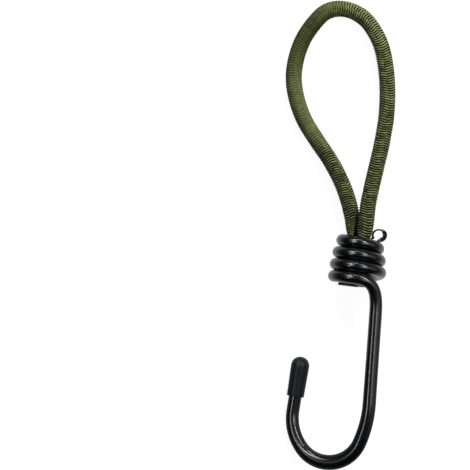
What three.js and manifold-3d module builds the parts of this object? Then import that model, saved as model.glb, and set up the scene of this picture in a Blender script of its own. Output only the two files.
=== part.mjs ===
// A short bungee cord: one elastic cord doubled into a loop, both ends held in the conical coil of a
// plastic-coated steel wire hook with a soft cap on its tip. It lies on a table, seen from above.
// Millimetres. X to the right, Y towards the loop, Z up from the table. The origin is on the table,
// under the middle of the hook and its coil.
import * as THREE from "three";
import { mergeVertices } from "three/addons/utils/BufferGeometryUtils.js";
import ManifoldModule from "manifold-3d";

const wasm = await ManifoldModule();
wasm.setup();

// Steel wire and its plastic coat
const wire_radius = 1.4;
const coat_clearance = 0.1;
const coil_coat_radius = 2.08;
const hook_coat_radius = 2.48;
const bend_swell_share = 1.17;
const wire_sides = 8;

// Coil, wound as a cone whose narrow end faces the loop
const coil_wide_radius = 8.87;
const coil_narrow_radius = 6.2;
const coil_gap = 0.45;
const coil_lead = 2 * coil_coat_radius + coil_gap;
const coil_first_deg = 90;
const coil_last_deg = 1375;
const coil_turn_steps = 24;
const coil_axis_x = 7.5;
const coil_axis_y = 26.1;
const coil_yaw_deg = 4.2;
const coil_dip_deg = 5;
const flat_depth = 0.5;

// Hook: a shank, three arcs and a straight arm, as seen from above
const shank_beside_axis = 7.14;
const shank_below_coil = 12.1;
const shank_above_axis = 6;
const shank_lean_deg = 4;
const shank_length = 34.7;
const upper_arc_radius = 45;
const upper_arc_deg = 20.2;
const lower_arc_radius = 12.57;
const lower_arc_deg = 118.3;
const arm_arc_radius = 19.4;
const arm_arc_deg = 46.6;
const arm_length = 5.5;
const exit_coil_handle = 5.5;
const exit_shank_handle = 9.5;
const exit_steps = 8;

// Cap pushed on the hook's tip
const cap_length = 15.3;
const cap_clearance = 0.2;
const cap_wall = 0.62;
const cap_swell = 0.2;
const cap_lip = 0.08;
const cap_lip_length = 0.6;
const cap_end_wall = 1.4;
const cap_sides = 20;
const cap_dome_steps = 6;
const cap_bore_radius = hook_coat_radius + cap_clearance;
const cap_skirt_radius = cap_bore_radius + cap_wall;
const cap_tip_radius = cap_skirt_radius + cap_swell;

// Curled tail of the coat at the wire's cut end
const curl_half_width = 2.1;
const curl_half_height = 2;
const curl_centre_x = 4.85;
const curl_centre_y = 1.65;
const curl_thin = 0.25;
const curl_broad = 0.95;
const curl_from_deg = 205;
const curl_to_deg = -80;
const curl_foot_deg = 1112;
const curl_steps = 12;
const curl_sides = 6;
const curl_root = 0.3;

// Elastic cord: a braided sheath round one rubber strand and a ring of six more
const cord_radius = 3.18;
const sheath_wall = 0.55;
const strand_gap = 0.22;
const strand_radius = (cord_radius - sheath_wall - 2 * strand_gap) / 3;
const strand_circle_radius = 2 * strand_radius + strand_gap;
const strand_count = 6;
const sheath_sides = 12;
const strand_sides = 6;
const leg_steps = 10;
const crown_steps = 12;
const tail_steps = 9;
const crown_reach = 17.8;
const route_divisions = 3000;

// Where the cord's two ends pass through the coil, side by side
const pair_turn_deg = 40;
const tail_overhang = 2.2;

// The squeezed cord's half widths and its distance from the coil's axis, as shares of the free cord's
// radius, but in the neck of the narrow bore's radius
const tail_shares = { half_near_share: 0.92, half_far_share: 1.02, off_axis_share: 0.97 };
const clipped_shares = { half_near_share: 0.78, half_far_share: 0.94, off_axis_share: 0.84 };
const neck_shares = { half_near_share: 0.465, half_far_share: 0.74, off_axis_share: 0.5 };
const free_shares = { half_near_share: 1, half_far_share: 1, off_axis_share: 1.07 };

// Places along the coil, as shares of its lead
const swell_lead_share = 2.2;
const neck_first_lead_share = 2.7;
const neck_middle_lead_share = 3.2;
const neck_last_lead_share = 3.7;
const free_lead_share = 4.7;

// Clip crimped round both ends inside the coil
const clip_height = 4;
const clip_distance = 5;
const clip_wall = 0.7;
const clip_clearance = 0.2;
const clip_round_steps = 8;

const degrees = Math.PI / 180;
const merge_distance = 1e-5;
const end_gap = 0.3;
const table_normal = new THREE.Vector3(0, 0, 1);

// Closed skins

function closedGeometry(points, triangles) {
  const geometry = new THREE.BufferGeometry();
  const places = points.flatMap((point) => point.toArray());
  geometry.setAttribute("position", new THREE.Float32BufferAttribute(places, 3));
  geometry.setIndex(triangles);
  return geometry;
}

// Rings of equal count joined in a row, from the start face to the end face.
function skinRings(rings, triangles, first, inward) {
  const sides = rings[0].length;
  for (let i = 0; i + 1 < rings.length; i++) {
    for (let k = 0; k < sides; k++) {
      const a = first + i * sides + k;
      const b = first + i * sides + ((k + 1) % sides);
      const quad = [a, b, b + sides, a, b + sides, a + sides];
      triangles.push(...(inward ? quad.reverse() : quad));
    }
  }
}

function solidTube(rings) {
  const sides = rings[0].length;
  const points = rings.flat();
  const triangles = [];
  skinRings(rings, triangles, 0, false);
  [0, rings.length - 1].forEach((row, end) => {
    const middle = rings[row].reduce((sum, p) => sum.add(p), new THREE.Vector3()).divideScalar(sides);
    points.push(middle);
    for (let k = 0; k < sides; k++) {
      const a = row * sides + k;
      const b = row * sides + ((k + 1) % sides);
      triangles.push(...(end ? [points.length - 1, a, b] : [points.length - 1, b, a]));
    }
  });
  return closedGeometry(points, triangles);
}

// An outer and an inner skin, joined by a flat rim at each open end.
function openSleeve(outer, inner) {
  const sides = outer[0].length;
  const inner_first = outer.length * sides;
  const points = [...outer.flat(), ...inner.flat()];
  const triangles = [];
  skinRings(outer, triangles, 0, false);
  skinRings(inner, triangles, inner_first, true);
  [0, (outer.length - 1) * sides].forEach((row, end) => {
    for (let k = 0; k < sides; k++) {
      const next = (k + 1) % sides;
      const rim = [row + next, row + k, inner_first + row + k];
      const rim_back = [row + next, inner_first + row + k, inner_first + row + next];
      triangles.push(...(end ? [...rim.reverse(), ...rim_back.reverse()] : [...rim, ...rim_back]));
    }
  });
  return closedGeometry(points, triangles);
}

// Joins and cuts

function toSolid(geometry) {
  const bare = new THREE.BufferGeometry();
  bare.setAttribute("position", geometry.getAttribute("position").clone());
  bare.setIndex(geometry.index ? geometry.index.clone() : null);
  const merged = mergeVertices(bare, merge_distance);
  return new wasm.Manifold(new wasm.Mesh({
    numProp: 3,
    vertProperties: new Float32Array(merged.getAttribute("position").array),
    triVerts: new Uint32Array(merged.index.array),
  }));
}

function toGeometry(solid) {
  const mesh = solid.getMesh();
  const geometry = new THREE.BufferGeometry();
  geometry.setAttribute("position", new THREE.BufferAttribute(mesh.vertProperties, 3));
  geometry.setIndex(new THREE.BufferAttribute(mesh.triVerts, 1));
  return geometry;
}

function chordTangents(points) {
  return points.map((p, i) => {
    const before = points[Math.max(i - 1, 0)];
    const after = points[Math.min(i + 1, points.length - 1)];
    return after.clone().sub(before).normalize();
  });
}

// Sections along a route, carried without twist from one station to the next.
function carryFrames(points, tangents, first_side) {
  let side = first_side.clone();
  return points.map((point, i) => {
    if (i > 0) {
      const turn = new THREE.Quaternion().setFromUnitVectors(tangents[i - 1], tangents[i]);
      side.applyQuaternion(turn);
    }
    side = side.clone().addScaledVector(tangents[i], -side.dot(tangents[i])).normalize();
    const other = new THREE.Vector3().crossVectors(tangents[i], side);
    return { point, tangent: tangents[i], side: side.clone(), other };
  });
}

function circlePoints(sides, radius, middle_x = 0, middle_y = 0) {
  return Array.from({ length: sides }, (_, k) => {
    const angle = (2 * Math.PI * k) / sides;
    return [middle_x + radius * Math.cos(angle), middle_y + radius * Math.sin(angle)];
  });
}

// A section's points at a station, stretched along each given direction by its factor.
function placeSection(station, section, stretches) {
  return section.map(([x, y]) => {
    const offset = station.side.clone().multiplyScalar(x).addScaledVector(station.other, y);
    for (const { along, factor } of stretches) {
      offset.addScaledVector(along, offset.dot(along) * (factor - 1));
    }
    return offset.add(station.point);
  });
}

// The coil's own directions: along its axis to the narrow end, to the right, and up to the front
const yaw = coil_yaw_deg * degrees;
const dip = coil_dip_deg * degrees;
const coil_along = new THREE.Vector3(
  Math.sin(yaw) * Math.cos(dip),
  Math.cos(yaw) * Math.cos(dip),
  -Math.sin(dip),
);
const coil_right = new THREE.Vector3().crossVectors(coil_along, table_normal).normalize();
const coil_front = new THREE.Vector3().crossVectors(coil_right, coil_along);

// The radius falls with the square of the way along the coil, so the wide turns are nearly alike.
function coilOffset(turn_deg) {
  const share = (turn_deg - coil_first_deg) / (coil_last_deg - coil_first_deg);
  const radius = coil_wide_radius - (coil_wide_radius - coil_narrow_radius) * share * share;
  const angle = turn_deg * degrees;
  return coil_along.clone().multiplyScalar((coil_lead * (turn_deg - coil_first_deg)) / 360)
    .addScaledVector(coil_right, radius * Math.cos(angle))
    .addScaledVector(coil_front, radius * Math.sin(angle));
}

const coil_steps = Math.round(((coil_last_deg - coil_first_deg) / 360) * coil_turn_steps);
const coil_turns = Array.from({ length: coil_steps + 1 }, (_, i) => (
  coil_last_deg + ((coil_first_deg - coil_last_deg) * i) / coil_steps
));

// The coil stands a flat's depth into the table, and is cut off there.
const coil_lowest = Math.min(...coil_turns.map((turn) => coilOffset(turn).z)) - coil_coat_radius;
const coil_foot = new THREE.Vector3(coil_axis_x, coil_axis_y, -coil_lowest - flat_depth);
const coil_points = coil_turns.map((turn) => coilOffset(turn).add(coil_foot));

// The hook's route from above: each run has its length, its turning and its number of steps.
function arcRun(radius, turning_deg, steps) {
  const turning = turning_deg * degrees;
  return { length: radius * turning, turning, steps };
}

const shank_run = { length: shank_length, turning: 0, steps: 5 };
const upper_run = arcRun(upper_arc_radius, upper_arc_deg, 5);
const lower_run = arcRun(lower_arc_radius, lower_arc_deg, 12);
const arm_arc_run = arcRun(arm_arc_radius, arm_arc_deg, 7);
const arm_run = { length: arm_length, turning: 0, steps: 2 };
const capped_run = { length: cap_length - cap_end_wall, turning: 0, steps: 3 };
const shank_top_x = coil_axis_x + shank_beside_axis;
const shank_top_y = coil_axis_y - shank_below_coil;

function hookPlan() {
  const place = new THREE.Vector2(shank_top_x, shank_top_y);
  let heading = -Math.PI / 2 - shank_lean_deg * degrees;
  const plan = [place.clone()];
  const runs = [shank_run, upper_run, lower_run, arm_arc_run, arm_run, capped_run];
  for (const { length, turning, steps } of runs) {
    const chord_share = turning ? Math.sin(turning / steps / 2) / (turning / steps / 2) : 1;
    for (let i = 0; i < steps; i++) {
      heading -= turning / steps / 2;
      const reach = (length / steps) * chord_share;
      place.add(new THREE.Vector2(Math.cos(heading), Math.sin(heading)).multiplyScalar(reach));
      heading -= turning / steps / 2;
      plan.push(place.clone());
    }
  }
  return plan;
}

// The hook's plane tilts about its shank until the arm or the cap's rim rests on the table.
const hook_plan = hookPlan();
const cap_rim_plan = hook_plan[hook_plan.length - 1 - capped_run.steps];
const shank_height = coil_foot.z + shank_above_axis;
const hook_reach = shank_top_x - Math.min(...hook_plan.map((p) => p.x));
const hook_slope = Math.min(
  (shank_height - hook_coat_radius) / hook_reach,
  (shank_height - cap_skirt_radius - cap_lip) / (shank_top_x - cap_rim_plan.x),
);
const hook_points = hook_plan.map((p) => (
  new THREE.Vector3(p.x, p.y, shank_height - hook_slope * (shank_top_x - p.x))
));
const hook_normal = new THREE.Vector3(-hook_slope, 0, 1).normalize();

// The wire leaves the coil's last turn and bends down into the shank.
const coil_exit = coil_points[coil_points.length - 1];
const exit_heading = coil_exit.clone().sub(coil_points[coil_points.length - 2]).normalize();
const shank_heading = hook_points[1].clone().sub(hook_points[0]).normalize();
const exit_curve = new THREE.CubicBezierCurve3(
  coil_exit,
  coil_exit.clone().addScaledVector(exit_heading, exit_coil_handle),
  hook_points[0].clone().addScaledVector(shank_heading, -exit_shank_handle),
  hook_points[0],
);
const exit_points = exit_curve.getPoints(exit_steps).slice(1, -1);

const wire_points = [...coil_points, ...exit_points, ...hook_points];
const wire_stations = carryFrames(wire_points, chordTangents(wire_points), coil_right);
const hook_first = coil_points.length + exit_points.length;
const bend_middle = hook_first + shank_run.steps + upper_run.steps + lower_run.steps / 2;
const arm_first = hook_first + hook_points.length - 1 - capped_run.steps - arm_run.steps;

function smooth(share) {
  const held = Math.min(Math.max(share, 0), 1);
  return held * held * (3 - 2 * held);
}

// Forming the hook spread the wire a little in the hook's own plane, most at the foot of the bend.
function bendSwell(i) {
  const way_in = smooth((i - hook_first) / (bend_middle - hook_first));
  const way_out = smooth((arm_first - i) / (arm_first - bend_middle));
  return 1 + (bend_swell_share - 1) * Math.min(way_in, way_out);
}

function wireRings(coil_radius, hook_radius) {
  return wire_stations.map((station, i) => {
    const share = smooth((i - coil_points.length) / exit_steps);
    const radius = coil_radius + (hook_radius - coil_radius) * share;
    const across = new THREE.Vector3().crossVectors(hook_normal, station.tangent).normalize();
    const stretches = i > hook_first ? [{ along: across, factor: bendSwell(i) }] : [];
    return placeSection(station, circlePoints(wire_sides, radius), stretches);
  });
}

// Least gap between one turn's coat and the next, measured between points over a third of a turn apart
function leastCoilGap() {
  const apart = 2 * coil_wide_radius;
  const lengths = [0];
  wire_points.forEach((p, i) => i && lengths.push(lengths[i - 1] + p.distanceTo(wire_points[i - 1])));
  let least = Infinity;
  for (let i = 0; i < hook_first; i++) {
    for (let j = i + 1; j < wire_points.length; j++) {
      if (lengths[j] - lengths[i] > apart) {
        least = Math.min(least, wire_points[i].distanceTo(wire_points[j]) - 2 * coil_coat_radius);
      }
    }
  }
  return least;
}
console.log("least gap between the coil's turns, mm:", leastCoilGap().toFixed(2));

function hookWire() {
  return solidTube(wireRings(wire_radius, wire_radius));
}

// The curl is a thin strip, edge up at its left and top and turned flat at its right.
function coatCurl() {
  const cut_end = coil_points[0];
  const foot = coilOffset(curl_foot_deg).add(coil_foot);
  const points = [];
  const turned_shares = [];
  for (let i = 0; i <= curl_steps; i++) {
    const share = i / curl_steps;
    const angle = (curl_from_deg + (curl_to_deg - curl_from_deg) * share) * degrees;
    points.push(new THREE.Vector3(
      cut_end.x + curl_centre_x + curl_half_width * Math.cos(angle),
      cut_end.y + curl_centre_y + curl_half_height * Math.sin(angle),
      cut_end.z + (foot.z - cut_end.z) * share,
    ));
    turned_shares.push(Math.max(Math.cos(angle), 0));
  }
  const root_height = coil_coat_radius - curl_root;
  points.unshift(cut_end.clone().addScaledVector(coil_right, root_height));
  turned_shares.unshift(0);
  points.push(foot.clone().addScaledVector(coil_along, root_height));
  turned_shares.push(0);
  const stations = carryFrames(points, chordTangents(points), table_normal);
  const rings = stations.map((station, i) => {
    const flat_half = curl_thin + (curl_broad - curl_thin) * turned_shares[i];
    const edge = station.side.clone().multiplyScalar(curl_broad + curl_thin - flat_half);
    const flat = station.other.clone().multiplyScalar(flat_half);
    return circlePoints(curl_sides, 1).map(([x, y]) => (
      station.point.clone().addScaledVector(edge, x).addScaledVector(flat, y)
    ));
  });
  return solidTube(rings);
}

function tableBlock() {
  const size = 2 * (shank_length + coil_wide_radius + cap_length) + 4 * lower_arc_radius;
  const block = new THREE.BoxGeometry(size, size, coil_wide_radius);
  block.translate(0, 0, -coil_wide_radius / 2);
  return block;
}

function hookCoat() {
  const bore_radius = wire_radius + coat_clearance;
  const outer = wireRings(coil_coat_radius, hook_coat_radius);
  const inner = wireRings(bore_radius, bore_radius);
  const whole = toSolid(openSleeve(outer, inner)).add(toSolid(coatCurl()));
  return toGeometry(whole.subtract(toSolid(tableBlock())));
}

// A round-nosed cap, open at its skirt, turned about its own Y axis with the skirt's rim at zero
function tipCap() {
  const floor = cap_length - cap_end_wall + end_gap;
  const shoulder = cap_length - cap_tip_radius;
  const profile = [
    new THREE.Vector2(cap_bore_radius, 0),
    new THREE.Vector2(cap_skirt_radius + cap_lip, 0),
    new THREE.Vector2(cap_skirt_radius + cap_lip, cap_lip_length),
    new THREE.Vector2(cap_skirt_radius, cap_lip_length + cap_lip),
  ];
  for (let i = 0; i < cap_dome_steps; i++) {
    const angle = (Math.PI / 2) * (i / cap_dome_steps);
    const across = cap_tip_radius * Math.cos(angle);
    const up = shoulder + cap_tip_radius * Math.sin(angle);
    profile.push(new THREE.Vector2(across, up));
  }
  profile.push(new THREE.Vector2(0, cap_length));
  profile.push(new THREE.Vector2(0, floor));
  profile.push(new THREE.Vector2(cap_bore_radius, floor));
  profile.push(new THREE.Vector2(cap_bore_radius, 0));
  return new THREE.LatheGeometry(profile, cap_sides);
}

// The cord's section as it passes the coil, at distances from the coil's foot along its axis:
// half its width towards its partner, half its width the other way, and how far off the axis it runs
const neck_bore_radius = coil_narrow_radius - coil_coat_radius;

function squeezeRow(at, shares, scale) {
  return {
    at,
    half_near: shares.half_near_share * scale,
    half_far: shares.half_far_share * scale,
    off_axis: shares.off_axis_share * scale,
  };
}

const cord_squeezes = [
  squeezeRow(-tail_overhang, tail_shares, cord_radius),
  squeezeRow(clip_distance - clip_height, clipped_shares, cord_radius),
  squeezeRow(clip_distance + clip_height, clipped_shares, cord_radius),
  squeezeRow(neck_first_lead_share * coil_lead, neck_shares, neck_bore_radius),
  squeezeRow(neck_last_lead_share * coil_lead, neck_shares, neck_bore_radius),
  squeezeRow(free_lead_share * coil_lead, free_shares, cord_radius),
];

function squeezeAt(distance) {
  const last = cord_squeezes.length - 1;
  if (distance >= cord_squeezes[last].at) {
    return cord_squeezes[last];
  }
  const i = Math.max(cord_squeezes.findIndex((row) => row.at > distance), 1);
  const [a, b] = [cord_squeezes[i - 1], cord_squeezes[i]];
  const share = smooth((distance - a.at) / (b.at - a.at));
  return {
    half_near: a.half_near + (b.half_near - a.half_near) * share,
    half_far: a.half_far + (b.half_far - a.half_far) * share,
    off_axis: a.off_axis + (b.off_axis - a.off_axis) * share,
  };
}

const pair_turn = pair_turn_deg * degrees;
const pair_along = coil_right.clone().multiplyScalar(Math.cos(pair_turn))
  .addScaledVector(coil_front, Math.sin(pair_turn));
const pair_across = new THREE.Vector3().crossVectors(coil_along, pair_along);

// The cord inside the coil, from its cut end up to the neck; hand is -1 for the left end, 1 for the right.
function tailPoints(hand) {
  const distances = [
    -tail_overhang,
    clip_distance - clip_height / 2,
    clip_distance,
    clip_distance + clip_height / 2,
    swell_lead_share * coil_lead,
    neck_first_lead_share * coil_lead,
    neck_middle_lead_share * coil_lead,
    neck_last_lead_share * coil_lead,
  ];
  return distances.map((distance) => (
    coil_foot.clone().addScaledVector(coil_along, distance)
      .addScaledVector(pair_along, hand * squeezeAt(distance).off_axis)
  ));
}

// The free loop's route, from the left of the neck over the crown to the right of the neck
const loop_route = [
  [6.3, 47.3, 6.1], [5.6, 51.1, 5.8], [4.2, 56.8, 5.2], [1.3, 64.4, 4.5], [-2.7, 72.1, 4.0],
  [-7.8, 79.7, 3.6], [-12.5, 87.4, 3.4], [-15.3, 95.0, 3.3], [-16.5, 102.6, 3.3], [-15.7, 110.3, 3.3],
  [-13.0, 117.9, 3.3], [-8.9, 124.1, 3.3], [-4.5, 128.4, 3.3], [0.4, 129.8, 3.3], [6.1, 128.8, 3.3],
  [11.2, 125.4, 3.3], [15.0, 119.9, 3.3], [17.3, 114.1, 3.4], [18.7, 106.5, 3.6], [19.2, 98.8, 4.0],
  [19.0, 91.2, 4.6], [18.1, 83.6, 5.4], [16.6, 75.9, 6.4], [14.8, 68.3, 7.6], [13.0, 60.6, 8.9],
  [11.7, 54.0, 10.0], [10.9, 47.3, 10.9],
].map((place) => new THREE.Vector3(...place));

const cord_curve = new THREE.CatmullRomCurve3(
  [...tailPoints(-1), ...loop_route, ...tailPoints(1).reverse()],
  false,
  "centripetal",
);
cord_curve.arcLengthDivisions = route_divisions;
const cord_length = cord_curve.getLength();
console.log("cord length, cut end to cut end, mm:", cord_length.toFixed(1));

// Shares of the cord's length where it crosses a given height of Y, on its way up and on its way down
function shareAtY(y, rising) {
  const heights = cord_curve.getSpacedPoints(route_divisions).map((point) => point.y);
  const crossed = heights.findIndex((after, i) => {
    const before = heights[Math.max(i - 1, 0)];
    return rising ? before < y && after >= y : before > y && after <= y;
  });
  return crossed / route_divisions;
}

const neck_y = coil_foot.y + free_lead_share * coil_lead;
const crown_start_y = Math.max(...loop_route.map((place) => place.y)) - crown_reach;
const left_neck = shareAtY(neck_y, true);
const left_crown = shareAtY(crown_start_y, true);
const right_crown = shareAtY(crown_start_y, false);
const right_neck = shareAtY(neck_y, false);

function evenShares(from, to, steps) {
  return Array.from({ length: steps + 1 }, (_, i) => from + ((to - from) * i) / steps);
}

const half_gap = end_gap / 2 / cord_length;
const left_leg_shares = [
  ...evenShares(0, left_neck, tail_steps),
  ...evenShares(left_neck, left_crown - half_gap, leg_steps).slice(1),
];
const crown_shares = evenShares(left_crown + half_gap, right_crown - half_gap, crown_steps);
const right_leg_shares = [
  ...evenShares(right_crown + half_gap, right_neck, leg_steps),
  ...evenShares(right_neck, 1, tail_steps).slice(1),
];
const cord_shares = [...left_leg_shares, ...crown_shares, ...right_leg_shares];
const cord_stations = carryFrames(
  cord_shares.map((share) => cord_curve.getPointAt(share)),
  cord_shares.map((share) => cord_curve.getTangentAt(share)),
  pair_along,
);

// The cord's section at a station, squeezed towards its partner where both pass the coil
function cordRing(station, section) {
  const distance = station.point.clone().sub(coil_foot).dot(coil_along);
  const squeeze = squeezeAt(distance);
  return placeSection(station, section, [
    { along: pair_along, factor: squeeze.half_near / cord_radius },
    { along: pair_across, factor: squeeze.half_far / cord_radius },
  ]);
}

function sheathSleeve(first, count) {
  const stations = cord_stations.slice(first, first + count);
  const outer = circlePoints(sheath_sides, cord_radius);
  const inner = circlePoints(sheath_sides, cord_radius - sheath_wall);
  return openSleeve(stations.map((s) => cordRing(s, outer)), stations.map((s) => cordRing(s, inner)));
}

function rubberStrand(middle_x, middle_y) {
  const section = circlePoints(strand_sides, strand_radius, middle_x, middle_y);
  return solidTube(cord_stations.map((station) => cordRing(station, section)));
}

// A flat strap bent into a ring with round ends, closed round both cord ends
function endClip() {
  const row = squeezeAt(clip_distance);
  const round = row.half_far + clip_clearance;
  const half_straight = row.off_axis + row.half_near + clip_clearance - round;
  const ring = (height, out) => {
    const middle = coil_foot.clone().addScaledVector(coil_along, height);
    const points = [];
    for (const hand of [1, -1]) {
      for (let i = 0; i <= clip_round_steps; i++) {
        const angle = -Math.PI / 2 + (Math.PI * i) / clip_round_steps;
        const along = hand * (half_straight + (round + out) * Math.cos(angle));
        const across = hand * (round + out) * Math.sin(angle);
        points.push(middle.clone().addScaledVector(pair_along, along).addScaledVector(pair_across, across));
      }
    }
    return points;
  };
  const heights = [clip_distance - clip_height / 2, clip_distance + clip_height / 2];
  return openSleeve(heights.map((h) => ring(h, clip_wall)), heights.map((h) => ring(h, 0)));
}

// Materials

const coat_black = new THREE.MeshStandardMaterial({ color: 0x0c0d0f, roughness: 0.22, metalness: 0 });
const cap_charcoal = new THREE.MeshStandardMaterial({ color: 0x2a2c2e, roughness: 0.75, metalness: 0 });
const wire_steel = new THREE.MeshStandardMaterial({ color: 0x8d9094, roughness: 0.35, metalness: 1 });
const clip_zinc = new THREE.MeshStandardMaterial({ color: 0xa9adb1, roughness: 0.4, metalness: 1 });
const sheath_olive = new THREE.MeshStandardMaterial({ color: 0x5a6238, roughness: 0.85, metalness: 0 });
const rubber_cream = new THREE.MeshStandardMaterial({ color: 0xdcd6c3, roughness: 0.7, metalness: 0 });

// Assembly

const bungee = new THREE.Group();

function addPiece(name, geometry, material) {
  const mesh = new THREE.Mesh(geometry, material);
  mesh.name = name;
  bungee.add(mesh);
  return mesh;
}

addPiece("hook_wire", hookWire(), wire_steel);
addPiece("hook_coat", hookCoat(), coat_black);

const tip = hook_points[hook_points.length - 1];
const arm_heading = tip.clone().sub(hook_points[hook_points.length - 2]).normalize();
const cap = addPiece("tip_cap", tipCap(), cap_charcoal);
cap.position.copy(hook_points[hook_points.length - 1 - capped_run.steps]);
cap.quaternion.setFromUnitVectors(new THREE.Vector3(0, 1, 0), arm_heading);

addPiece("end_clip", endClip(), clip_zinc);
addPiece("sheath_left_leg", sheathSleeve(0, left_leg_shares.length), sheath_olive);
addPiece("sheath_crown", sheathSleeve(left_leg_shares.length, crown_shares.length), sheath_olive);
addPiece(
  "sheath_right_leg",
  sheathSleeve(left_leg_shares.length + crown_shares.length, right_leg_shares.length),
  sheath_olive,
);

addPiece("rubber_strand_1", rubberStrand(0, 0), rubber_cream);
circlePoints(strand_count, strand_circle_radius).forEach(([x, y], i) => {
  addPiece(`rubber_strand_${i + 2}`, rubberStrand(x, y), rubber_cream);
});

export default bungee;
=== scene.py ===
# %% [markdown]
# # A small bungee cord, seen from above
#
# The real object is a braided elastic cord doubled into a loop. Its two cut ends are held inside the
# conical coil of a steel wire hook that was dipped in black plastic, and a soft cap covers the tip.
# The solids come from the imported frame. This notebook gives each of them its looks, in metres, in the
# same frame: X to the right, Y towards the loop, Z up from the table.

# %% Load the frame
import math

import bmesh
import bpy
import numpy as np
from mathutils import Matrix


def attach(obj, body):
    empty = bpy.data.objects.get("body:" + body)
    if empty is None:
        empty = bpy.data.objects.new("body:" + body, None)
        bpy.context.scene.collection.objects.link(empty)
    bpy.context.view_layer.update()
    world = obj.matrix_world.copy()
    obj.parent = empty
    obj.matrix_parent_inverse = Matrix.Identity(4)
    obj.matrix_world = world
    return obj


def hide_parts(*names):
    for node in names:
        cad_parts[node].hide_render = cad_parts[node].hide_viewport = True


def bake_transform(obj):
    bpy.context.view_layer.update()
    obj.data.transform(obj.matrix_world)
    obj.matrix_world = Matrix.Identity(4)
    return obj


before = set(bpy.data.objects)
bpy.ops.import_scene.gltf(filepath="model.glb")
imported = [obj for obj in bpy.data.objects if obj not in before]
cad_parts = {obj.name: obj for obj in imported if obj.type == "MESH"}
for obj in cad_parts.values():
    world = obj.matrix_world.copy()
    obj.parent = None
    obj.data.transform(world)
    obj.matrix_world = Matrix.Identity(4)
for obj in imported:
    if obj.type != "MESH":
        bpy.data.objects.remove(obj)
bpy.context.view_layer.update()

mm = 0.001
degree = math.pi / 180

# %% [markdown]
# ## The camera
#
# The photograph was taken from straight above, from far away, because the coil's front and back turns
# have the same size in it. A long lens from six metres gives that flat look. An orthographic camera
# would too, but a long lens also frames the other views by itself.

# %% Camera
photo_width = 179.54 * mm
camera_place = (-38.96 * mm, 43.43 * mm, 6.0)
sensor_width = 36

camera_data = bpy.data.cameras.new("camera")
camera_data.sensor_width = sensor_width
camera_data.lens = sensor_width * camera_place[2] / photo_width
camera_data.clip_end = 2 * camera_place[2]
camera = bpy.data.objects.new("camera", camera_data)
camera.location = camera_place
bpy.context.scene.collection.objects.link(camera)
bpy.context.scene.camera = camera
print("camera: lens of", round(camera_data.lens), "mm")

# %% [markdown]
# ## Small tools for shapes
#
# Every piece here is a profile carried along a path. Three things make that work on whole arrays: a
# smooth step between two values, frames that travel along the path without twisting, and the quads of
# a grid. Blender's curve bevel could sweep a circle too, but it can't change its outline on the way.

# %% Vectors and smooth steps
def unit(vectors):
    """Each vector divided by its own length."""
    vectors = np.asarray(vectors, float)
    return vectors / np.linalg.norm(vectors, axis=-1, keepdims=True)


def dot(a, b):
    """The sum of the products of two arrays of vectors, kept as a column."""
    return (a * b).sum(-1, keepdims=True)


def smooth(share):
    """3s² - 2s³ of a share held between 0 and 1, so that it starts and ends level."""
    held = np.clip(share, 0.0, 1.0)
    return held * held * (3.0 - 2.0 * held)


def angles_round(count):
    """Angles of places spread evenly round a circle."""
    return np.arange(count) * 2 * math.pi / count


# %% Paths
def way_along(points):
    """How far along a line each of its points lies: the sum of the distances before it."""
    steps = np.linalg.norm(np.diff(points, axis=0), axis=1)
    return np.concatenate([[0.0], np.cumsum(steps)])


def read_off(places, way, line):
    """The vectors of a line at given distances, by straight steps between its own points."""
    return np.stack([np.interp(places, way, line[:, axis]) for axis in range(3)], -1)


def spaced(points, places):
    """Points of a line at given distances along it."""
    return read_off(places, way_along(points), points)


def carried_frames(points, guide, first_side):
    """Two sides square to a path that don't twist along it. The guide gives a rough side at each point.
    The turn from each rough side, rolled over to the next point, is measured, and their sum taken out."""
    tangent = unit(np.gradient(points, axis=0))
    rough = unit(guide - tangent * dot(guide, tangent))
    other = np.cross(tangent, rough)
    before, after = tangent[:-1], tangent[1:]
    axis = np.cross(before, after)
    cosine = dot(before, after)
    rolled = rough[:-1] * cosine + np.cross(axis, rough[:-1]) + axis * dot(axis, rough[:-1]) / (1 + cosine)
    turns = np.arctan2(dot(rolled, other[1:]), dot(rolled, rough[1:]))[:, 0]
    first = np.arctan2(dot(first_side, other[:1]), dot(first_side, rough[:1]))[:, 0]
    angle = np.concatenate([first, first + np.cumsum(turns)])[:, None]
    side = rough * np.cos(angle) + other * np.sin(angle)
    return tangent, side, np.cross(tangent, side)


# %% Meshes
def grid_quads(rows, columns, closed_rows=False):
    """Quads of a grid of points, row by row, whose columns go round and meet. With closed rows, the last
    row is joined to the first, as on a ring or a sleeve."""
    row = np.arange(rows if closed_rows else rows - 1)[:, None]
    column = np.arange(columns)[None]
    next_row, next_column = (row + 1) % rows, (column + 1) % columns
    corners = [
        row * columns + column,
        row * columns + next_column,
        next_row * columns + next_column,
        next_row * columns + column,
    ]
    return np.stack(corners, -1).reshape(-1, 4)


def new_piece(name, grid, closed_rows=False):
    """A piece whose surface is a grid of points, rows by columns, shaded smooth."""
    rows, columns = grid.shape[:2]
    quads = grid_quads(rows, columns, closed_rows).astype(np.int32)
    mesh = bpy.data.meshes.new(name)
    mesh.vertices.add(rows * columns)
    mesh.vertices.foreach_set("co", grid.astype(np.float32).ravel())
    mesh.loops.add(quads.size)
    mesh.loops.foreach_set("vertex_index", quads.ravel())
    mesh.polygons.add(len(quads))
    mesh.polygons.foreach_set("loop_start", np.arange(0, quads.size, 4, dtype=np.int32))
    mesh.update(calc_edges=True)
    mesh.shade_smooth()
    piece = bpy.data.objects.new(name, mesh)
    bpy.context.scene.collection.objects.link(piece)
    return piece


same_point = 1e-7
sharp_deg = 50


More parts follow.
